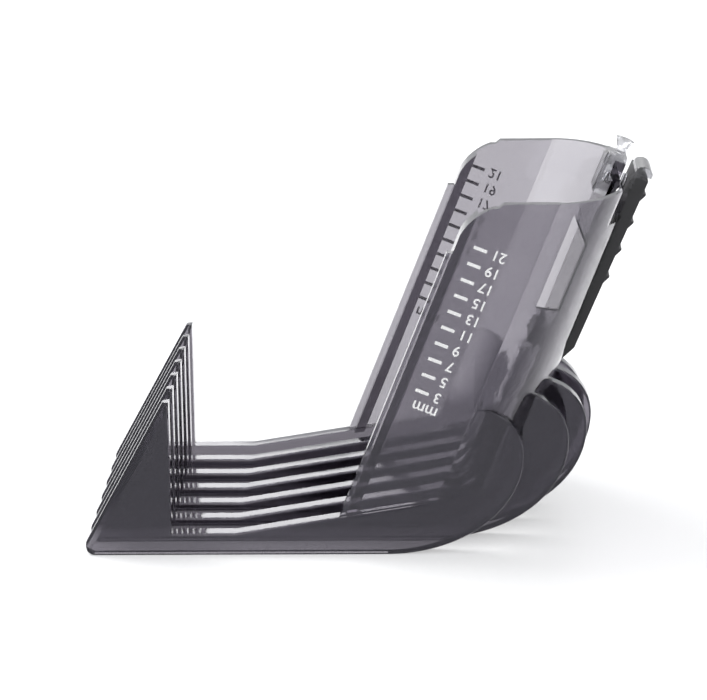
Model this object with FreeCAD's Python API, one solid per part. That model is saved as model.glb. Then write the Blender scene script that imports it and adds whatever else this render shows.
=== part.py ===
"""Clipper guard comb: seven tooth plates under a raked cradle with a rocker length selector.

Millimetres. +X runs from the tooth tips to the heel, +Y across the teeth, +Z up. The origin is
the middle of the bounding box at the plane that the tooth plates stand on.
Stations are X distances from the tooth tips, and "offset" is a sideways distance from the
middle plane. The cradle is raked: each of its level sections is the same, moved along X by
RAKE times its height.
"""
import FreeCAD, Part
import math
import os

# ---- tooth plates
PLATE_COUNT = 7
PLATE_PITCH = 6.5
PLATE_THICK = 2.5
TIP_RADIUS = 1.2            # rounded toe of each tooth
FIN_HEIGHT = 19.7
FIN_TOP_FRONT = 10.1        # station of the front of the blunt fin top
FIN_BACK = 10.85            # station of the upright back edge of the fin
BEVEL_RUN = 1.0             # bevel along both sides of the leading edge
BEVEL_SIDE = 0.8
EDGE_ROUND = 0.3            # small round on the other outer edges of a plate
BAR_HEIGHT = 2.8            # lowest hair length
BEND_STATION = 18.9         # where the bar starts to climb
INCLINE = 0.16              # climb of the bar under the cradle
HEEL_CENTRE = 63.9          # rearmost station of the middle plate
HEEL_PLAN_X = 16.8          # half axes of the ellipse that the heels follow in plan
HEEL_PLAN_Y = 22.0
HEEL_RUN = 17.0             # length and height of the round underside of a heel
HEEL_RISE = 12.8
HEEL_OVERLAP = 1.0          # how far a heel block starts ahead of the turn of the wall
HEEL_TOP = 18.9             # top of the fins behind the cradle, a quarter round above the rise

# ---- cradle
RAKE_ANGLE = 22.0           # degrees from upright
RAKE = math.tan(math.radians(RAKE_ANGLE))
WALL_OFFSET = 20.75         # outer face of a side wall, flush with the outer plates
WALL_THICK = 1.4
CRADLE_TOP = 44.6
FRONT_STATION = 29.9        # front edge of the rail flange, carried down to the table plane
CURVE_STATION = 41.35       # where the side walls start to turn into the back
CURVE_DEPTH = 10.45         # half length of the elliptical back
BACK_THICK = 0.9            # its wall, thinner than the side walls
ROOT_FILLET = 5.0           # between the plates' inclined tops and the back
FLANGE_WIDTH = 0.75
FLANGE_TOP = 38.6
RAIL_WIDTH = 1.25
RAIL_DEPTH = 3.9            # from the outer face of the wall inwards
CORNER_MID = (48.0, 42.0)   # round top front corner: a point of its arc, and its end
CORNER_END = (51.2, 44.1)
STEP_FOOT = 51.9            # small step up to the top edge
STEP_HEAD = 52.5

# ---- slot through the -Y back corner, in the raked frame, with a slanted top
SLOT_OUT = (-8.5, -5.55)
SLOT_LOW = 30.6             # along
SLOT_HIGH = (43.2, 39.7)    # along, at its front and rear sides

# ---- selector housing, in the raked frame: "along" up the rake, "out" away from the handle
HOUSING_HALF = 7.2
CHEEK_THICK = 1.2
FLOOR_OUT = -3.3            # outer face of the housing floor
FLOOR_THICK = 1.0
FLOOR_INNER = FLOOR_OUT - FLOOR_THICK
FLOOR_WINDOW = (21.5, 26.2) # along, where the pawl passes through the floor
WINDOW_HALF = 3.4
NOTCH_LOW = 42.3            # along, above which the back is cut down to the floor
TONGUE_LOW = 40.0           # tongue of the floor that stands up past the top edge
TONGUE_HIGH = 48.2
TONGUE_HALF = 2.8
TONGUE_OUT = -2.9
STOP_ALONG = 20.7           # ledge that the button's lower end rests on
STOP_LENGTH = 1.0
STOP_GAP = 0.1
PIVOT_ALONG = 32.0
PIVOT_OUT = -2.1
PIN_RADIUS = 0.4
PIN_HALF = 7.0
SPRING_ALONG = 45.6
SPRING_BORE = 1.5
SPRING_SEAT = -4.9          # out, where the spring stands

# ---- selector button
BUTTON_HALF = 5.6
BUTTON_LOW = 21.1           # along
BUTTON_HIGH = 47.7
BUTTON_INNER = (-2.15, -1.4)    # out, at its low and high ends: it leans more than the rake
BUTTON_OUTER = (-0.35, 0.25)
BUTTON_TAPER = 3.2          # length of the thin lower end
BUTTON_LIP = 0.35           # its thickness at the very end
BOSS_RADIUS = 0.85
BOSS_HALF = 3.0
PIN_CLEARANCE = 0.05
PAWL_ALONG = (22.2, 24.6)
PAWL_REACH = -5.4
PAWL_HALF = 2.9
RIB_FIRST = 34.4            # along, the edge of the lowest barb
RIB_PITCH = 3.83
RIB_COUNT = 4
RIB_HEIGHT = 0.55
RIB_SLOPE = 1.6             # length of the long side below the edge
RIB_EDGE = 0.25
RIB_UNDERCUT = 0.2          # how far the short side leans back down
RIB_HALF = 4.4
RIB_SUNK = 0.1
CAP_LENGTH = 1.2
CAP_SIDE = 0.6              # straight part of its sides
CAP_OUTER = 0.75
CAP_HALF = 3.4

# ---- return spring
COIL_RADIUS = 1.1
WIRE_RADIUS = 0.16
COIL_TURNS = 4
COIL_GAP = 0.03             # between the end turns and what they bear on

# ---- stop lug: a clear block behind the housing floor, with a mushroom on top
LUG_LOW = 43.4              # along
LUG_HIGH = 48.8
LUG_INNER = -5.6            # out
LUG_HALF = 2.4
LUG_ROUND = 0.35
LUG_NECK_OUT = -3.85
LUG_NECK_RADIUS = 0.65
LUG_NECK = 0.9
LUG_HEAD_LOW = 0.75         # radii of the head, wider at the top
LUG_HEAD_HIGH = 1.2
LUG_HEAD = 1.1

# ---- printed scale: one mark for every 2 mm of hair length
MARK_COUNT = 10
MARK_STEP = 2.0             # rise of each mark
MARK_LENGTH = 1.74
MARK_WIDTH = 0.42
MARK_FILM = 0.1
MARK_FIRST_HEIGHT = 21.0    # the lowest mark
MARK_GAP = 3.0              # from the front edge of the flange to the marks
FAR_PRINT_RISE = 1.7        # the print on the +Y wall sits higher

WIDE = 100.0                # larger than the comb, for cutting tools
WHOLE_RAKE = (-WIDE, WIDE)
TOUCH = 0.01                # two lengths closer than this are the same
UP = FreeCAD.Vector(0, 0, 1)
ACROSS = FreeCAD.Vector(0, 1, 0)
RAKED_ORIGIN = 52.75        # station where the raked frame starts, just behind the back


def point(x, z, y=0.0):
    return FreeCAD.Vector(x, y, z)


def line(start, end):
    return Part.LineSegment(start, end).toShape()


def arc(start, middle, end):
    return Part.Arc(start, middle, end).toShape()


def slab(edges, low, high):
    """A solid between two offsets whose side view is the closed loop of edges at y = 0."""
    face = Part.Face(Part.Wire(edges))
    face.translate(ACROSS * low)
    return face.extrude(ACROSS * (high - low))


def polygon_slab(points, low, high):
    loop = points + points[:1]
    return slab([line(a, b) for a, b in zip(loop, loop[1:])], low, high)


def raked(points, height=CRADLE_TOP):
    """A raked prism from its level section at the table plane."""
    wire = Part.makePolygon(points + points[:1])
    return Part.Face(wire).extrude(FreeCAD.Vector(RAKE * height, 0, height))


def along_out(along, out, y=0.0):
    """A point of the raked frame: along the rake, and out from a line just behind the back."""
    angle = math.radians(RAKE_ANGLE)
    x = RAKED_ORIGIN + along * math.sin(angle) + out * math.cos(angle)
    z = along * math.cos(angle) - out * math.sin(angle)
    return point(x, z, y)


def raked_box(along, out, half_width):
    """A box in the raked frame, centred on the middle plane."""
    corners = [(along[0], out[0]), (along[1], out[0]), (along[1], out[1]), (along[0], out[1])]
    return polygon_slab([along_out(*corner) for corner in corners], -half_width, half_width)


def outward():
    return along_out(0, 1) - along_out(0, 0)


def up_the_rake():
    return along_out(1, 0) - along_out(0, 0)


def button_face(sides, along):
    """The out of one face of the button, part way from its low end to its high end."""
    low, high = sides
    return low + (high - low) * (along - BUTTON_LOW) / (BUTTON_HIGH - BUTTON_LOW)


def bar_level(station):
    return BAR_HEIGHT + INCLINE * (station - BEND_STATION)


def plate_offset(index):
    return (index - (PLATE_COUNT - 1) / 2) * PLATE_PITCH


def heel_station(offset):
    return HEEL_CENTRE - HEEL_PLAN_X * (1 - math.sqrt(1 - (offset / HEEL_PLAN_Y) ** 2))


def ellipse_face(depth, half_width):
    """Level section of the rear half of the cradle, out to one ellipse."""
    centre = FreeCAD.Vector(CURVE_STATION, 0, 0)
    long_end = centre + FreeCAD.Vector(0, half_width, 0)
    side = centre + FreeCAD.Vector(depth, 0, 0)
    ellipse = Part.Ellipse(long_end, side, centre)
    halves = [ellipse.toShape(0, math.pi), ellipse.toShape(math.pi, 2 * math.pi)]
    edge = max(halves, key=lambda half: half.CenterOfMass.x)
    start, end = [vertex.Point for vertex in edge.Vertexes]
    return Part.Face(Part.Wire([edge, line(end, start)]))


def inner_ellipse():
    return ellipse_face(CURVE_DEPTH - BACK_THICK, WALL_OFFSET - BACK_THICK)


def raked_face(face):
    """A raked prism as high as the cradle."""
    return face.extrude(FreeCAD.Vector(RAKE * CRADLE_TOP, 0, CRADLE_TOP))


def cavity():
    """The space inside the cradle, above the plates' inclined tops."""
    inner = WALL_OFFSET - WALL_THICK
    front = FRONT_STATION - FLANGE_WIDTH
    sides = [(front, -inner), (CURVE_STATION, -inner), (CURVE_STATION, inner), (front, inner)]
    block = raked([FreeCAD.Vector(x, y, 0) for x, y in sides]).common(above_incline())
    curved = raked_face(inner_ellipse()).common(above_incline())
    roots = [edge for edge in curved.Edges if is_root(edge)]
    curved = curved.makeFillet(ROOT_FILLET, roots)
    return block.fuse(curved).cut(raked_box(WHOLE_RAKE, (FLOOR_INNER, WIDE), HOUSING_HALF))


def is_root(edge):
    """The curved edge where the back meets the plane of the inclined plate tops."""
    box = edge.BoundBox
    curved = box.XLength > CURVE_DEPTH / 2
    return curved and box.YLength > WALL_OFFSET and box.ZMax < HEEL_TOP


def above_incline():
    """All the space above the plane of the plates' inclined tops."""
    return polygon_slab([point(0, bar_level(0)), point(WIDE, bar_level(WIDE)),
                         point(WIDE, WIDE), point(0, WIDE)], -WIDE / 2, WIDE / 2)


def plate_profile(offset):
    """Side view of one tooth plate as a closed loop of edges."""
    toe_end, fin_front = leading_slope()
    toe_centre = point(TIP_RADIUS, TIP_RADIUS)
    toe_start = point(TIP_RADIUS, 0)
    outward_middle = (toe_end + toe_start) / 2 - toe_centre
    toe_middle = toe_centre + outward_middle.normalize() * TIP_RADIUS
    fin_back = point(FIN_BACK, FIN_HEIGHT)
    bar_front = point(FIN_BACK, BAR_HEIGHT)
    bend = point(BEND_STATION, BAR_HEIGHT)
    heel = heel_station(offset)
    flat_end = point(heel - HEEL_RUN, 0)
    rear = point(heel, HEEL_RISE)
    round_top = HEEL_TOP - HEEL_RISE
    shoulder = point(heel - round_top, HEEL_TOP)
    diagonal = round_top * math.sqrt(0.5)
    shoulder_mid = point(heel - round_top + diagonal, HEEL_RISE + diagonal)
    start = CURVE_STATION - HEEL_OVERLAP
    inner_top = point(start + RAKE * HEEL_TOP, HEEL_TOP)
    low_height = bar_level(start) / (1 - INCLINE * RAKE)
    inner_low = point(start + RAKE * low_height, low_height)
    under = underside(heel)
    return [arc(toe_start, toe_middle, toe_end), line(toe_end, fin_front),
            line(fin_front, fin_back), line(fin_back, bar_front), line(bar_front, bend),
            line(bend, inner_low), line(inner_low, inner_top), line(inner_top, shoulder),
            arc(shoulder, shoulder_mid, rear), under, line(flat_end, toe_start)]


def underside(heel):
    """Quarter ellipse from the rear of a heel down to its flat foot."""
    centre = point(heel - HEEL_RUN, HEEL_RISE)
    ellipse = Part.Ellipse(centre + point(HEEL_RUN, 0), centre + point(0, -HEEL_RISE), centre)
    return ellipse.toShape(0, math.pi / 2)


def tooth_plate(index, hollow):
    offset = plate_offset(index)
    half = PLATE_THICK / 2
    plate = slab(plate_profile(offset), offset - half, offset + half)
    rim = [edge for edge in plate.Edges if is_rim(edge, offset)]
    plate = plate.makeFillet(EDGE_ROUND, rim)
    for side in (-1, 1):
        plate = plate.cut(bevel(offset, side))
    return plate.cut(hollow)


def is_rim(edge, offset):
    """The edges of the two side faces, apart from the leading slope and the hidden root."""
    box = edge.BoundBox
    if box.YLength > TOUCH or abs(abs(box.YMin - offset) - PLATE_THICK / 2) > TOUCH:
        return False
    leading = box.XMax < FIN_TOP_FRONT + TOUCH and box.ZLength > FIN_HEIGHT / 2
    root = BEND_STATION < box.XMin and box.XMax < RAKED_ORIGIN and box.ZLength > BAR_HEIGHT
    return not (leading or root)


def bevel(offset, side):
    """Wedge that thins a fin towards its leading edge, on one side."""
    toe_end, fin_front = leading_slope()
    slope = fin_front - toe_end
    run = FreeCAD.Vector(slope.z, 0, -slope.x).normalize() * BEVEL_RUN
    depth = ACROSS * side * BEVEL_SIDE
    start = toe_end - slope + ACROSS * (offset + side * PLATE_THICK / 2)
    corners = [start + run * 2 + depth, start - run + depth, start - run - depth * 2]
    wire = Part.makePolygon(corners + corners[:1])
    return Part.Face(wire).extrude(slope * 3)


def leading_slope():
    """Both ends of a fin's straight front: where the round toe ends, and the fin top."""
    lean = math.atan2(FIN_HEIGHT, FIN_TOP_FRONT)
    centre = point(TIP_RADIUS, TIP_RADIUS)
    toe_angle = math.radians(90) + lean
    toe_end = centre + point(math.cos(toe_angle), math.sin(toe_angle)) * TIP_RADIUS
    return toe_end, point(FIN_TOP_FRONT, FIN_HEIGHT)


def side_envelope():
    """Side view of the cradle: raked front, round top corner, small step, level top."""
    front = FRONT_STATION + FLANGE_WIDTH
    low = point(front + RAKE * bar_level(front), bar_level(front))
    low.z = bar_level(low.x)
    high = point(front + RAKE * FLANGE_TOP, FLANGE_TOP)
    middle = point(*CORNER_MID)
    end = point(*CORNER_END)
    foot = point(STEP_FOOT, CORNER_END[1])
    head = point(STEP_HEAD, CRADLE_TOP)
    rear = point(WIDE, CRADLE_TOP)
    rear_low = point(WIDE, bar_level(WIDE))
    edges = [line(low, high), arc(high, middle, end), line(end, foot), line(foot, head),
             line(head, rear), line(rear, rear_low), line(rear_low, low)]
    return slab(edges, -WIDE / 2, WIDE / 2)


def mirrored(shape):
    return shape.mirror(FreeCAD.Vector(0, 0, 0), ACROSS)


def guide_rail():
    """Front rail of the -Y wall: a thin flange in front of a deep rib."""
    outer = -WALL_OFFSET
    inner = -WALL_OFFSET + WALL_THICK
    deep = -WALL_OFFSET + RAIL_DEPTH
    front = FRONT_STATION
    step = FRONT_STATION + FLANGE_WIDTH
    back = step + RAIL_WIDTH
    flange = raked([FreeCAD.Vector(x, y, 0) for x, y in
                    [(front, outer), (step, outer), (step, inner), (front, inner)]], FLANGE_TOP)
    rib = raked([FreeCAD.Vector(x, y, 0) for x, y in
                 [(step, outer), (back, outer), (back, deep), (step, deep)]])
    return flange.common(above_incline()).fuse(rib.common(side_envelope())).removeSplitter()


def side_wall():
    """The flat -Y wall from the rail to the turn into the back."""
    outer = -WALL_OFFSET
    inner = -WALL_OFFSET + WALL_THICK
    start = FRONT_STATION + FLANGE_WIDTH + RAIL_WIDTH
    wall = raked([FreeCAD.Vector(x, y, 0) for x, y in
                  [(start, outer), (CURVE_STATION, outer), (CURVE_STATION, inner),
                   (start, inner)]])
    return wall.common(side_envelope())


def back_corner(plates):
    """The curved -Y corner of the back, fitted around the plates and cut down near the button."""
    outer = raked_face(ellipse_face(CURVE_DEPTH, WALL_OFFSET))
    inner = raked_face(inner_ellipse())
    keep = Part.makeBox(WIDE, WALL_OFFSET, WIDE, point(0, 0, -WALL_OFFSET - HOUSING_HALF))
    notch = raked_box((NOTCH_LOW, WIDE), (FLOOR_OUT, WIDE), WIDE)
    shell = outer.cut(inner).common(keep).common(above_incline()).cut(notch)
    return cut_all(shell, plates)


def corner_slot():
    """Cutting tool for the slot in the -Y back corner."""
    front, rear = SLOT_OUT
    corners = [(SLOT_LOW, front), (SLOT_LOW, rear), (SLOT_HIGH[1], rear), (SLOT_HIGH[0], front)]
    return polygon_slab([along_out(*corner) for corner in corners], -WIDE, 0)


def cut_all(shape, tools):
    for tool in tools:
        shape = shape.cut(tool)
    return shape


def selector_housing(plates):
    """Channel in the back that holds the button: floor, tongue, two cheeks and stop."""
    channel_half = HOUSING_HALF - CHEEK_THICK
    outside = raked_face(ellipse_face(CURVE_DEPTH, WALL_OFFSET))
    body = outside.common(raked_box(WHOLE_RAKE, (FLOOR_INNER, WIDE), HOUSING_HALF))
    channel = raked_box(WHOLE_RAKE, (FLOOR_OUT, WIDE), channel_half)
    window = raked_box(FLOOR_WINDOW, (-WIDE, FLOOR_OUT), WINDOW_HALF)
    notch = raked_box((NOTCH_LOW, WIDE), (FLOOR_OUT, WIDE), HOUSING_HALF)
    body = body.cut(channel).cut(window).cut(notch).common(above_incline())
    tongue = raked_box((TONGUE_LOW, TONGUE_HIGH), (FLOOR_INNER, TONGUE_OUT), TONGUE_HALF)
    stop = raked_box((STOP_ALONG, STOP_ALONG + STOP_LENGTH),
                     (FLOOR_OUT, BUTTON_INNER[0] - STOP_GAP), channel_half)
    body = body.fuse(tongue).fuse(stop).cut(spring_bore()).cut(pivot_pin()).removeSplitter()
    return cut_all(body, plates)


def spring_bore():
    """The round hole that the spring stands in, from the tongue's outer face to the seat."""
    seat = along_out(SPRING_ALONG, SPRING_SEAT)
    return Part.makeCylinder(SPRING_BORE, TONGUE_OUT - SPRING_SEAT, seat, outward())


def pivot_cylinder(radius, half_length):
    start = along_out(PIVOT_ALONG, PIVOT_OUT, -half_length)
    return Part.makeCylinder(radius, 2 * half_length, start, ACROSS)


def pivot_pin():
    return pivot_cylinder(PIN_RADIUS, PIN_HALF)


def grip_rib(along):
    """Saw-tooth barb across the finger end of the button, its edge at the top."""
    face = button_face(BUTTON_OUTER, along)
    root = face - RIB_SUNK
    tip = face + RIB_HEIGHT
    corners = [(along - RIB_SLOPE, root), (along - RIB_EDGE, tip), (along, tip),
               (along - RIB_UNDERCUT, root)]
    return polygon_slab([along_out(*corner) for corner in corners], -RIB_HALF, RIB_HALF)


def selector_button():
    """Rocker: finger plate with ribs above the pivot, pawl below it."""
    taper = BUTTON_LOW + BUTTON_TAPER
    outline = [along_out(BUTTON_LOW, BUTTON_INNER[0]), along_out(BUTTON_HIGH, BUTTON_INNER[1]),
               along_out(BUTTON_HIGH, BUTTON_OUTER[1]),
               along_out(taper, button_face(BUTTON_OUTER, taper)),
               along_out(BUTTON_LOW, BUTTON_INNER[0] + BUTTON_LIP)]
    body = polygon_slab(outline, -BUTTON_HALF, BUTTON_HALF)
    body = body.fuse(pivot_cylinder(BOSS_RADIUS, BOSS_HALF))
    body = body.fuse(raked_box(PAWL_ALONG, (PAWL_REACH, BUTTON_INNER[1]), PAWL_HALF))
    for number in range(RIB_COUNT):
        body = body.fuse(grip_rib(RIB_FIRST + number * RIB_PITCH))
    return body.cut(pivot_cylinder(PIN_RADIUS + PIN_CLEARANCE, PIN_HALF)).removeSplitter()


def button_end_cap():
    """Clear rounded cap on the finger end of the button."""
    inner = BUTTON_INNER[1]
    low = along_out(BUTTON_HIGH, inner)
    high = along_out(BUTTON_HIGH, CAP_OUTER)
    top_in = along_out(BUTTON_HIGH + CAP_SIDE, inner)
    top_out = along_out(BUTTON_HIGH + CAP_SIDE, CAP_OUTER)
    crown = along_out(BUTTON_HIGH + CAP_LENGTH, (inner + CAP_OUTER) / 2)
    edges = [line(low, high), line(high, top_out), arc(top_out, crown, top_in),
             line(top_in, low)]
    return slab(edges, -CAP_HALF, CAP_HALF)


def return_spring():
    """Compression coil between its seat and the finger plate, its axis across the rake."""
    bearing = button_face(BUTTON_INNER, SPRING_ALONG - COIL_RADIUS - WIRE_RADIUS)
    length = bearing - SPRING_SEAT - 2 * (WIRE_RADIUS + COIL_GAP)
    helix = Part.makeHelix(length / COIL_TURNS, length, COIL_RADIUS)
    start = FreeCAD.Vector(COIL_RADIUS, 0, 0)
    section = Part.Wire(Part.makeCircle(WIRE_RADIUS, start, ACROSS))
    coil = Part.Wire(helix.Edges).makePipeShell([section], True, True)
    turn = FreeCAD.Rotation(UP, outward())
    seat = along_out(SPRING_ALONG, SPRING_SEAT + WIRE_RADIUS + COIL_GAP)
    coil.Placement = FreeCAD.Placement(seat, turn)
    return coil


def stop_lug():
    """Clear block that seats the spring and hooks over the tongue, with a mushroom on top."""
    block = raked_box((LUG_LOW, LUG_HIGH), (LUG_INNER, FLOOR_INNER), LUG_HALF)
    hook = raked_box((TONGUE_HIGH, LUG_HIGH), (LUG_INNER, TONGUE_OUT), LUG_HALF)
    block = block.fuse(hook).removeSplitter()
    inner_face = (along_out(0, LUG_INNER) - along_out(0, 0)).dot(outward())
    inner_edges = [edge for edge in block.Edges if lies_at(edge, inner_face)]
    block = block.makeFillet(LUG_ROUND, inner_edges)
    neck_foot = along_out(LUG_HIGH, LUG_NECK_OUT)
    head_foot = along_out(LUG_HIGH + LUG_NECK, LUG_NECK_OUT)
    neck = Part.makeCylinder(LUG_NECK_RADIUS, LUG_NECK, neck_foot, up_the_rake())
    head = Part.makeCone(LUG_HEAD_LOW, LUG_HEAD_HIGH, LUG_HEAD, head_foot, up_the_rake())
    return block.fuse(neck).fuse(head).removeSplitter().cut(spring_bore())


def lies_at(edge, distance):
    """Whether both ends of an edge are this far out in the raked frame."""
    origin = along_out(0, 0)
    outs = [(vertex.Point - origin).dot(outward()) for vertex in edge.Vertexes]
    return all(abs(out - distance) < TOUCH for out in outs)


def scale_marks(rise):
    """Printed marks on the -Y wall, one for every setting, square to the rake."""
    angle = math.radians(RAKE_ANGLE)
    reach = point(math.cos(angle), -math.sin(angle)) * MARK_LENGTH
    thick = point(math.sin(angle), math.cos(angle)) * MARK_WIDTH
    marks = []
    for number in range(MARK_COUNT):
        height = MARK_FIRST_HEIGHT + number * MARK_STEP + rise
        start = point(FRONT_STATION + MARK_GAP + RAKE * (height - rise), height)
        corners = [start, start + reach, start + reach + thick, start + thick]
        marks.append(polygon_slab(corners, -WALL_OFFSET - MARK_FILM, -WALL_OFFSET))
    return Part.makeCompound(marks)


def build():
    hollow = cavity()
    plates = [tooth_plate(index, hollow) for index in range(PLATE_COUNT)]
    corner = back_corner(plates)
    shapes = {f"tooth_plate_{index + 1}": plate for index, plate in enumerate(plates)}
    shapes["left_side_wall"] = cut_all(side_wall(), plates)
    shapes["right_side_wall"] = mirrored(shapes["left_side_wall"])
    shapes["left_guide_rail"] = cut_all(guide_rail(), plates)
    shapes["right_guide_rail"] = mirrored(shapes["left_guide_rail"])
    shapes["left_back_corner"] = corner.cut(corner_slot())
    shapes["right_back_corner"] = mirrored(corner)
    shapes["selector_housing"] = selector_housing(plates)
    shapes["selector_button"] = selector_button()
    shapes["button_end_cap"] = button_end_cap()
    shapes["pivot_pin"] = pivot_pin()
    shapes["return_spring"] = return_spring()
    shapes["stop_lug"] = stop_lug()
    shapes["left_scale_marks"] = scale_marks(0.0)
    shapes["right_scale_marks"] = mirrored(scale_marks(FAR_PRINT_RISE))
    return shapes


def main():
    os.makedirs("parts", exist_ok=True)
    shapes = build()
    whole = Part.makeCompound(list(shapes.values())).optimalBoundingBox(False)
    centre = FreeCAD.Vector(-(whole.XMin + whole.XMax) / 2, 0, 0)
    for node, shape in shapes.items():
        shape.translate(centre)
        shape.exportStep(f"parts/{node}.step")
    pivot = along_out(PIVOT_ALONG, PIVOT_OUT) + centre
    print("size", round(whole.XLength, 2), round(whole.YLength, 2), round(whole.ZLength, 2))
    print("stations move by", round(centre.x, 3), "pivot at", round(pivot.x, 3), round(pivot.z, 3))


main()
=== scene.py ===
import math

import bmesh
import bpy
from mathutils import Matrix, Vector


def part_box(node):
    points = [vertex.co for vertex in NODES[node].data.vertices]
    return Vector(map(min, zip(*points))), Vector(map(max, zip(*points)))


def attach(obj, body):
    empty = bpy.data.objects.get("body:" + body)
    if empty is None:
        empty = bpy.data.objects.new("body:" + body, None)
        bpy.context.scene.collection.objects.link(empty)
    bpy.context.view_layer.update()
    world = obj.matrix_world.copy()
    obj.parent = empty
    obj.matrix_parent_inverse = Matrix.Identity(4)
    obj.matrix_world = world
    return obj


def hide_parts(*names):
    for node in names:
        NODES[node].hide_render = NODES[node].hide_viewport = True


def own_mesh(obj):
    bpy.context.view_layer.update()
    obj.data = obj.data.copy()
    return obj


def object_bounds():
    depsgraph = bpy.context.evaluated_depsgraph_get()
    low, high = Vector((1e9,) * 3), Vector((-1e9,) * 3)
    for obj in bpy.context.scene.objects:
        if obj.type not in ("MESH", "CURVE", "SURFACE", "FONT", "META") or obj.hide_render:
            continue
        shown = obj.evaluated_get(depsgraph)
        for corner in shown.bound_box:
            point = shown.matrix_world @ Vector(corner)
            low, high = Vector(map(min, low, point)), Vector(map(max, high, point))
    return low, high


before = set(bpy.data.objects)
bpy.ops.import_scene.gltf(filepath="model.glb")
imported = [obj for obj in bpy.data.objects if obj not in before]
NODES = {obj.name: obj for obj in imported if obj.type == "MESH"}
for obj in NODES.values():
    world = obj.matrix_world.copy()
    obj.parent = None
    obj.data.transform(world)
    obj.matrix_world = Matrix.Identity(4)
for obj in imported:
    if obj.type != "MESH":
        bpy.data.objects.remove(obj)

CAD_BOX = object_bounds()
MM = 0.001
SCENE = bpy.context.scene

# ---- the cradle's frame: "along" points up the rake, "out" away from the handle
RAKE_ANGLE = math.radians(22)
ALONG = Vector((math.sin(RAKE_ANGLE), 0, math.cos(RAKE_ANGLE)))
OUT = Vector((math.cos(RAKE_ANGLE), 0, -math.sin(RAKE_ANGLE)))

# ---- moulding
MOULDING_NODES = [name for name in NODES if name.startswith("tooth_plate") or name in (
    "left_side_wall", "right_side_wall", "left_guide_rail", "right_guide_rail",
    "left_back_corner", "right_back_corner", "selector_housing")]
SWELL = 0.02 * MM           # makes neighbouring parts of the moulding overlap before they are joined
WELD = 0.0001 * MM
SHARP_ANGLE = math.radians(32)
CRUMB_SHARE = 1 / 50        # a pocket has fewer of the joined mesh's vertices than this

# ---- small pieces with rounded edges
ROUND_SEGMENTS = 3
ROUND_CREASE = math.radians(50)
PLATE_ROUND = 0.1 * MM      # finger plate and stop lug
CAP_ROUND = 0.25 * MM
PIN_ROUND = 0.08 * MM

# ---- printed scale
INK_THICK = 0.03 * MM
INK_LIFT = 0.025 * MM       # from the CAD wall to the underside of the ink
MARK_REACH = 1.74 * MM
MARK_WIDTH = 0.42 * MM
MARK_RISE = 2.0 * MM        # height from one mark to the next
MARK_FILM = 0.1 * MM        # thickness of the CAD's marks
DIGIT_HEIGHT = 1.3 * MM
DIGIT_ADVANCE = 0.45 * MM   # half the room that one figure takes
DIGIT_GAP = 0.7 * MM        # between a mark and its number
UNIT_HEIGHT = 1.5 * MM
UNIT_FORWARD = 0.95 * MM    # the unit sits nearer the front than the last number
UNIT_DROP = 1.95 * MM       # and below it
MARK_NUMBERS = range(3, 22, 2)
FIGURE_SHARE = 0.7          # height of the built-in face's figures, as a share of its size
STROKE_GROWTH = 0.02        # how much bolder the ink is than the face, as a share of its height

# ---- return spring
COIL_RADIUS = 1.1 * MM
WIRE_RADIUS = 0.16 * MM
COIL_TURNS = 5
COIL_STEPS = 28             # points of one turn
COIL_INSET = 0.1 * WIRE_RADIUS
END_TURN = 0.12             # share of the wire that lies nearly flat at each end
END_PITCH = 0.1             # share of the length that is climbed evenly all along the wire
COIL_CREASE = math.radians(60)

# ---- studio and camera
FLOOR_REACH = 4.0
AIM = (0, 0, 0.02)          # where the lights point
BOUNCES = 20
LENS_LENGTH = 174.6
SENSOR_WIDTH = 36
NEAR_CLIP = 0.01
EYE = (0.01182, -0.4288, 0.13375)
EYE_YAW = math.radians(1.914)
EYE_DOWN = math.radians(14.722)
EYE_ROLL = math.radians(-0.806)


# ================================================================ materials

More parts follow.
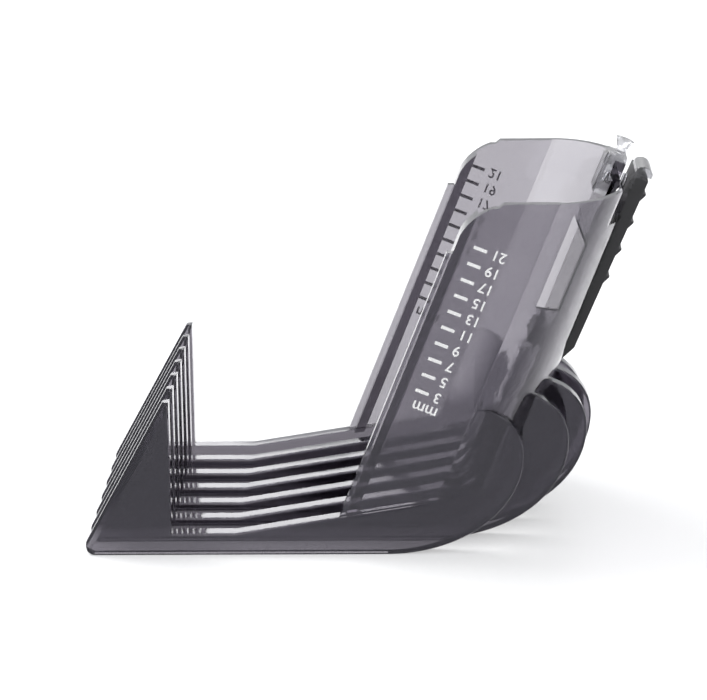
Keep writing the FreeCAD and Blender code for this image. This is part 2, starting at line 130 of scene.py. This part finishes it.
class Shader:
    """A material's node tree, with short calls for the nodes that the finishes share."""

    def __init__(self, name):
        self.material = bpy.data.materials.new(name)
        self.material.use_nodes = True
        self.tree = self.material.node_tree
        self.tree.nodes.clear()
        self.output = self.tree.nodes.new("ShaderNodeOutputMaterial")
        self.surface = self.tree.nodes.new("ShaderNodeBsdfPrincipled")
        self.join(self.surface, "BSDF", self.output, "Surface")
        self.place = self.tree.nodes.new("ShaderNodeTexCoord")

    def join(self, source, output, target, socket):
        self.tree.links.new(source.outputs[output], target.inputs[socket])

    def set(self, **values):
        """Plain values on the surface shader: underscores in a name stand for spaces."""
        for name, value in values.items():
            self.surface.inputs[name.replace("_", " ")].default_value = value

    def noise(self, scale, detail=3.0, stretch=(1, 1, 1), rough=0.5):
        mapping = self.tree.nodes.new("ShaderNodeMapping")
        mapping.inputs["Scale"].default_value = stretch
        self.join(self.place, "Object", mapping, "Vector")
        noise = self.tree.nodes.new("ShaderNodeTexNoise")
        noise.inputs["Scale"].default_value = scale
        noise.inputs["Detail"].default_value = detail
        noise.inputs["Roughness"].default_value = rough
        self.join(mapping, "Vector", noise, "Vector")
        return noise

    def spread(self, source, low, high, start=0.3, end=0.7):
        """Maps a noise's factor from start..end to low..high."""
        node = self.tree.nodes.new("ShaderNodeMapRange")
        node.inputs["From Min"].default_value = start
        node.inputs["From Max"].default_value = end
        node.inputs["To Min"].default_value = low
        node.inputs["To Max"].default_value = high
        self.join(source, "Fac", node, "Value")
        return node

    def tint(self, source, dark, light, start=0.35, end=0.65):
        ramp = self.tree.nodes.new("ShaderNodeValToRGB")
        ramp.color_ramp.elements[0].position = start
        ramp.color_ramp.elements[0].color = (*dark, 1)
        ramp.color_ramp.elements[1].position = end
        ramp.color_ramp.elements[1].color = (*light, 1)
        self.join(source, "Fac", ramp, "Fac")
        self.join(ramp, "Color", self.surface, "Base Color")

    def bumps(self, *layers):
        """Stacks bump maps: each layer is a noise, its height in metres and its strength."""
        before = None
        for noise, height, strength in layers:
            bump = self.tree.nodes.new("ShaderNodeBump")
            bump.inputs["Distance"].default_value = height
            bump.inputs["Strength"].default_value = strength
            self.join(noise, "Fac", bump, "Height")
            if before is not None:
                self.join(before, "Normal", bump, "Normal")
            before = bump
        self.join(before, "Normal", self.surface, "Normal")

    def absorb(self, colour, density):
        volume = self.tree.nodes.new("ShaderNodeVolumeAbsorption")
        volume.inputs["Color"].default_value = (*colour, 1)
        volume.inputs["Density"].default_value = density
        self.join(volume, "Volume", self.output, "Volume")


def smoke_plastic():
    """Violet-grey translucent moulding: glossy, with flow ripple, handling haze and fine scratches."""
    shader = Shader("smoke_plastic")
    shader.set(Transmission_Weight=1.0, IOR=1.58, Specular_Tint=(0.90, 0.87, 1.0, 1))
    shader.absorb((0.298, 0.272, 0.322), 995)
    haze = shader.noise(160, 4, rough=0.6)
    shader.tint(haze, (0.93, 0.925, 0.94), (0.99, 0.985, 0.995))
    shader.join(shader.spread(haze, 0.03, 0.09), "Result", shader.surface, "Roughness")
    ripple = shader.noise(55, 1)
    scratches = shader.noise(900, 2, stretch=(1, 1, 0.06))
    shader.bumps((ripple, 0.05 * MM, 0.25), (scratches, 0.002 * MM, 0.15))
    return shader.material


def black_plastic():
    """Satin black moulding with a fine spark-eroded grain, rubbed a little smoother in patches."""
    shader = Shader("black_plastic")
    shader.set(IOR=1.42)
    wear = shader.noise(260, 4, rough=0.6)
    shader.tint(wear, (0.010, 0.010, 0.011), (0.022, 0.022, 0.024))
    shader.join(shader.spread(wear, 0.32, 0.5), "Result", shader.surface, "Roughness")
    grain = shader.noise(6500, 2)
    shader.bumps((wear, 0.02 * MM, 0.3), (grain, 0.012 * MM, 0.5))
    return shader.material


def clear_plastic():
    """Nearly colourless moulding with soft haze."""
    shader = Shader("clear_plastic")
    shader.set(Transmission_Weight=1.0, IOR=1.49)
    shader.absorb((0.55, 0.55, 0.57), 280)
    haze = shader.noise(420, 3)
    shader.tint(haze, (0.94, 0.94, 0.96), (1.0, 1.0, 1.0))
    shader.join(shader.spread(haze, 0.14, 0.3), "Result", shader.surface, "Roughness")
    shader.bumps((shader.noise(240, 2), 0.04 * MM, 0.4))
    return shader.material


def spring_steel():
    """Drawn wire: bright, with faint lines along the draw and slightly dull patches."""
    shader = Shader("spring_steel")
    shader.set(Metallic=1.0)
    dull = shader.noise(1400, 3)
    shader.tint(dull, (0.55, 0.55, 0.57), (0.78, 0.78, 0.80))
    shader.join(shader.spread(dull, 0.16, 0.34), "Result", shader.surface, "Roughness")
    shader.bumps((shader.noise(5200, 2, stretch=(1, 1, 0.2)), 0.006 * MM, 0.5))
    return shader.material


def white_ink():
    """Pad-printed ink: thin enough to pass some light, not quite even in cover."""
    shader = Shader("white_ink")
    shader.set(Transmission_Weight=0.28, IOR=1.4)
    cover = shader.noise(2600, 3, rough=0.65)
    shader.tint(cover, (0.88, 0.88, 0.88), (0.97, 0.97, 0.96))
    shader.join(shader.spread(cover, 0.35, 0.6), "Result", shader.surface, "Roughness")
    shader.bumps((cover, 0.006 * MM, 0.5))
    return shader.material


def studio_white():
    """Backdrop paper, very slightly mottled."""
    shader = Shader("studio_white")
    mottle = shader.noise(6, 2)
    shader.tint(mottle, (0.56, 0.56, 0.565), (0.58, 0.58, 0.58))
    shader.set(Roughness=0.55, Emission_Color=(1, 1, 1, 1), Emission_Strength=0.43)
    shader.bumps((shader.noise(900, 2), 0.02 * MM, 0.2))
    return shader.material


FINISHES = {
    "smoke_plastic": smoke_plastic(), "black_plastic": black_plastic(),
    "clear_plastic": clear_plastic(), "spring_steel": spring_steel(), "white_ink": white_ink(),
}


# ================================================================ mesh helpers

def link(name, mesh):
    piece = bpy.data.objects.new(name, mesh)
    SCENE.collection.objects.link(piece)
    return piece


def finish_piece(piece, slot, body, *replaced):
    """Gives a piece its finish, its body, and the CAD nodes that it stands for."""
    piece.data.materials.clear()
    piece.data.materials.append(FINISHES[slot])
    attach(piece, body)
    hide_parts(*replaced)


def welded(node):
    """A closed copy of a CAD node's mesh, with one vertex at each point."""
    form = bmesh.new()
    form.from_mesh(NODES[node].data)
    bmesh.ops.remove_doubles(form, verts=form.verts, dist=WELD)
    bmesh.ops.recalc_face_normals(form, faces=form.faces)
    return form


def store(form, name):
    mesh = bpy.data.meshes.new(name)
    form.to_mesh(mesh)
    form.free()
    return link(name, mesh)


def smooth(mesh, angle=SHARP_ANGLE):
    """Smooth shading with a crease wherever two faces meet at more than the angle."""
    form = bmesh.new()
    form.from_mesh(mesh)
    for face in form.faces:
        face.smooth = True
    for edge in form.edges:
        edge.smooth = len(edge.link_faces) == 2 and edge.calc_face_angle(0) < angle
    form.to_mesh(mesh)
    form.free()


def apply_modifiers(piece):
    depsgraph = bpy.context.evaluated_depsgraph_get()
    mesh = bpy.data.meshes.new_from_object(piece.evaluated_get(depsgraph))
    piece.modifiers.clear()
    piece.data = mesh


def weight_normals(piece):
    """Lets the large flat faces set the shading, so that small rounds don't bend their reflections."""
    modifier = piece.modifiers.new("weighted", "WEIGHTED_NORMAL")
    modifier.keep_sharp = True
    apply_modifiers(piece)


def softened(node, name, width):
    """A copy of a CAD node with its edges rounded."""
    piece = store(welded(node), name)
    bpy.context.view_layer.update()
    modifier = piece.modifiers.new("round", "BEVEL")
    modifier.width = width
    modifier.segments = ROUND_SEGMENTS
    modifier.limit_method = "ANGLE"
    modifier.angle_limit = SHARP_ANGLE
    apply_modifiers(piece)
    smooth(piece.data, ROUND_CREASE)
    weight_normals(piece)
    return piece


# ================================================================ the moulding

def swollen(node):
    """A closed copy of a CAD node, grown a little."""
    form = welded(node)
    form.normal_update()
    grown = [vertex.co + vertex.normal * SWELL for vertex in form.verts]
    for vertex, place in zip(form.verts, grown):
        vertex.co = place
    return store(form, "grown_" + node)


def keep_in_box(mesh):
    low, high = CAD_BOX
    for vertex in mesh.vertices:
        vertex.co = [min(max(value, a), b) for value, a, b in zip(vertex.co, low, high)]


def drop_crumbs(mesh):
    """Deletes the tiny closed pockets that are left between joined parts."""
    form = bmesh.new()
    form.from_mesh(mesh)
    left = set(form.verts)
    while left:
        island = {left.pop()}
        edge_of_island = list(island)
        while edge_of_island:
            near = {edge.other_vert(v) for v in edge_of_island for edge in v.link_edges}
            edge_of_island = list(near & left)
            left -= near
            island |= near
        if len(island) < len(form.verts) * CRUMB_SHARE:
            bmesh.ops.delete(form, geom=list(island), context="VERTS")
            left = {vertex for vertex in left if vertex.is_valid}
    form.to_mesh(mesh)
    form.free()


def moulding():
    """Joins the plates, walls, rails, corners and housing into the one part that they are."""
    parts = [swollen(node) for node in MOULDING_NODES]
    body, rest = parts[0], bpy.data.collections.new("moulding_parts")
    body.name = "comb_moulding"
    for part in parts[1:]:
        rest.objects.link(part)
    modifier = body.modifiers.new("join", "BOOLEAN")
    modifier.operation = "UNION"
    modifier.operand_type = "COLLECTION"
    modifier.collection = rest
    modifier.solver = "MANIFOLD"
    bpy.context.view_layer.update()
    apply_modifiers(body)
    for part in parts[1:]:
        bpy.data.objects.remove(part)
    bpy.data.collections.remove(rest)
    drop_crumbs(body.data)
    keep_in_box(body.data)
    smooth(body.data)
    weight_normals(body)
    finish_piece(body, "smoke_plastic", "comb", *MOULDING_NODES)
    return body


# ================================================================ the selector

def selector():
    button = softened("selector_button", "button_finger_plate", PLATE_ROUND)
    finish_piece(button, "black_plastic", "button", "selector_button")
    cap = softened("button_end_cap", "button_clear_cap", CAP_ROUND)
    finish_piece(cap, "clear_plastic", "button", "button_end_cap")
    lug = softened("stop_lug", "clear_stop_lug", PLATE_ROUND)
    finish_piece(lug, "clear_plastic", "comb", "stop_lug")
    pin = softened("pivot_pin", "button_hinge_pin", PIN_ROUND)
    finish_piece(pin, "spring_steel", "comb", "pivot_pin")


def spring_line():
    """Both ends of the coil's centre line: its seat, and the back of the finger plate."""
    low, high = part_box("return_spring")
    middle = (low + high) / 2
    reach = (high.x - low.x - 2 * COIL_RADIUS * math.sin(RAKE_ANGLE)) / math.cos(RAKE_ANGLE)
    half = OUT * (reach / 2 - WIRE_RADIUS)
    return middle - half, middle + half


def return_spring():
    start, end = spring_line()
    side = Vector((0, 1, 0))
    points = []
    for step in range(COIL_TURNS * COIL_STEPS + 1):
        share = step / (COIL_TURNS * COIL_STEPS)
        turn = math.tau * step / COIL_STEPS
        level = min(max((share - END_TURN) / (1 - 2 * END_TURN), 0), 1)
        centre = start.lerp(end, level * (1 - END_PITCH) + share * END_PITCH)
        ring = ALONG * math.cos(turn) + side * math.sin(turn)
        points.append(centre + ring * (COIL_RADIUS - COIL_INSET))
    curve = bpy.data.curves.new("coil", "CURVE")
    curve.dimensions = "3D"
    curve.bevel_depth = WIRE_RADIUS
    curve.bevel_resolution = 3
    curve.use_fill_caps = True
    spline = curve.splines.new("POLY")
    spline.points.add(len(points) - 1)
    for target, place in zip(spline.points, points):
        target.co = (*place, 1)
    wire = link("coil_line", curve)
    depsgraph = bpy.context.evaluated_depsgraph_get()
    mesh = bpy.data.meshes.new_from_object(wire.evaluated_get(depsgraph))
    bpy.data.objects.remove(wire)
    coil = link("return_spring_coil", mesh)
    smooth(mesh, COIL_CREASE)
    finish_piece(coil, "spring_steel", "comb", "return_spring")
    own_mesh(coil)


# ================================================================ the printed scale

def number_mesh(text, height):
    """A flat number in the XY plane, its middle at the origin, given a little thickness."""
    curve = bpy.data.curves.new("number", "FONT")
    curve.body = text
    curve.size = height / FIGURE_SHARE
    curve.align_x = "CENTER"
    curve.align_y = "CENTER"
    curve.offset = height * STROKE_GROWTH
    curve.resolution_u = 6
    curve.extrude = INK_THICK / 2
    words = link("number_line", curve)
    depsgraph = bpy.context.evaluated_depsgraph_get()
    mesh = bpy.data.meshes.new_from_object(words.evaluated_get(depsgraph))
    bpy.data.objects.remove(words)
    return mesh


def scale_print(node, name, side):
    """Marks, numbers and unit of one wall. They read with the teeth up, from outside the wall."""
    low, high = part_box(node)
    wall = low.y + MARK_FILM if side < 0 else high.y - MARK_FILM
    level = wall + side * (INK_LIFT + INK_THICK / 2)
    turn = Matrix((OUT * side, -ALONG, Vector((0, side, 0)))).transposed().to_4x4()
    shape = Matrix.Diagonal((MARK_REACH, MARK_WIDTH, INK_THICK, 1))
    form = bmesh.new()
    for index, number in enumerate(reversed(MARK_NUMBERS)):
        drop = Vector((-math.tan(RAKE_ANGLE), 0, -1)) * MARK_RISE * index
        start = Vector((high.x - OUT.x * MARK_REACH, level, high.z)) + drop
        bar = bmesh.ops.create_cube(form, size=1.0)["verts"]
        for vertex in bar:
            vertex.co = start + OUT * MARK_REACH / 2 + turn @ (shape @ vertex.co)
        text = str(number)
        middle = start + OUT * (MARK_REACH + DIGIT_GAP + len(text) * DIGIT_ADVANCE)
        print_text(form, text, DIGIT_HEIGHT, middle, turn)
    unit = middle - OUT * UNIT_FORWARD - ALONG * UNIT_DROP
    print_text(form, "mm", UNIT_HEIGHT, unit, turn)
    piece = store(form, name)
    finish_piece(piece, "white_ink", "comb", node)


def print_text(form, text, height, middle, turn):
    words = number_mesh(text, height)
    words.transform(Matrix.Translation(middle) @ turn)
    form.from_mesh(words)


# ================================================================ studio

def floor():
    mesh = bpy.data.meshes.new("floor")
    form = bmesh.new()
    bmesh.ops.create_grid(form, x_segments=8, y_segments=8, size=FLOOR_REACH)
    form.to_mesh(mesh)
    form.free()
    ground = link("floor", mesh)
    ground.location.z = CAD_BOX[0][2]
    ground.data.materials.append(studio_white())


def softbox(name, place, size, power):
    light = bpy.data.lights.new(name, "AREA")
    light.shape = "RECTANGLE"
    light.size, light.size_y = size
    light.energy = power
    lamp = bpy.data.objects.new(name, light)
    lamp.location = place
    lamp.rotation_euler = (Vector(AIM) - Vector(place)).to_track_quat("-Z", "Y").to_euler()
    SCENE.collection.objects.link(lamp)


def studio():
    world = bpy.data.worlds.new("studio")
    world.use_nodes = True
    background = world.node_tree.nodes["Background"]
    background.inputs["Color"].default_value = (0.96, 0.97, 1.0, 1)
    background.inputs["Strength"].default_value = 0.85
    SCENE.world = world
    SCENE.view_settings.view_transform = "Standard"
    # what lies behind seven clear plates is too uneven to guide the noise filter
    SCENE.cycles.denoising_input_passes = "RGB"
    SCENE.cycles.max_bounces = BOUNCES
    SCENE.cycles.transmission_bounces = BOUNCES
    softbox("key", (-0.45, 0.35, 0.75), (0.6, 0.6), 6.0)
    softbox("fill", (0.5, -0.6, 0.5), (0.5, 0.5), 1.5)
    softbox("back", (0, 1.3, 0.44), (2.4, 0.17), 2.8)


def camera():
    lens = bpy.data.cameras.new("camera")
    lens.lens = LENS_LENGTH
    lens.sensor_width = SENSOR_WIDTH
    lens.clip_start = NEAR_CLIP
    eye = bpy.data.objects.new("camera", lens)
    yaw = Matrix.Rotation(EYE_YAW, 4, "Z")
    tilt = Matrix.Rotation(math.pi / 2 - EYE_DOWN, 4, "X")
    roll = Matrix.Rotation(EYE_ROLL, 4, "Z")
    eye.matrix_world = Matrix.Translation(EYE) @ yaw @ tilt @ roll
    SCENE.collection.objects.link(eye)
    SCENE.camera = eye


moulding()
selector()
return_spring()
scale_print("left_scale_marks", "left_scale_print", -1)
scale_print("right_scale_marks", "right_scale_print", 1)
floor()
studio()
camera()
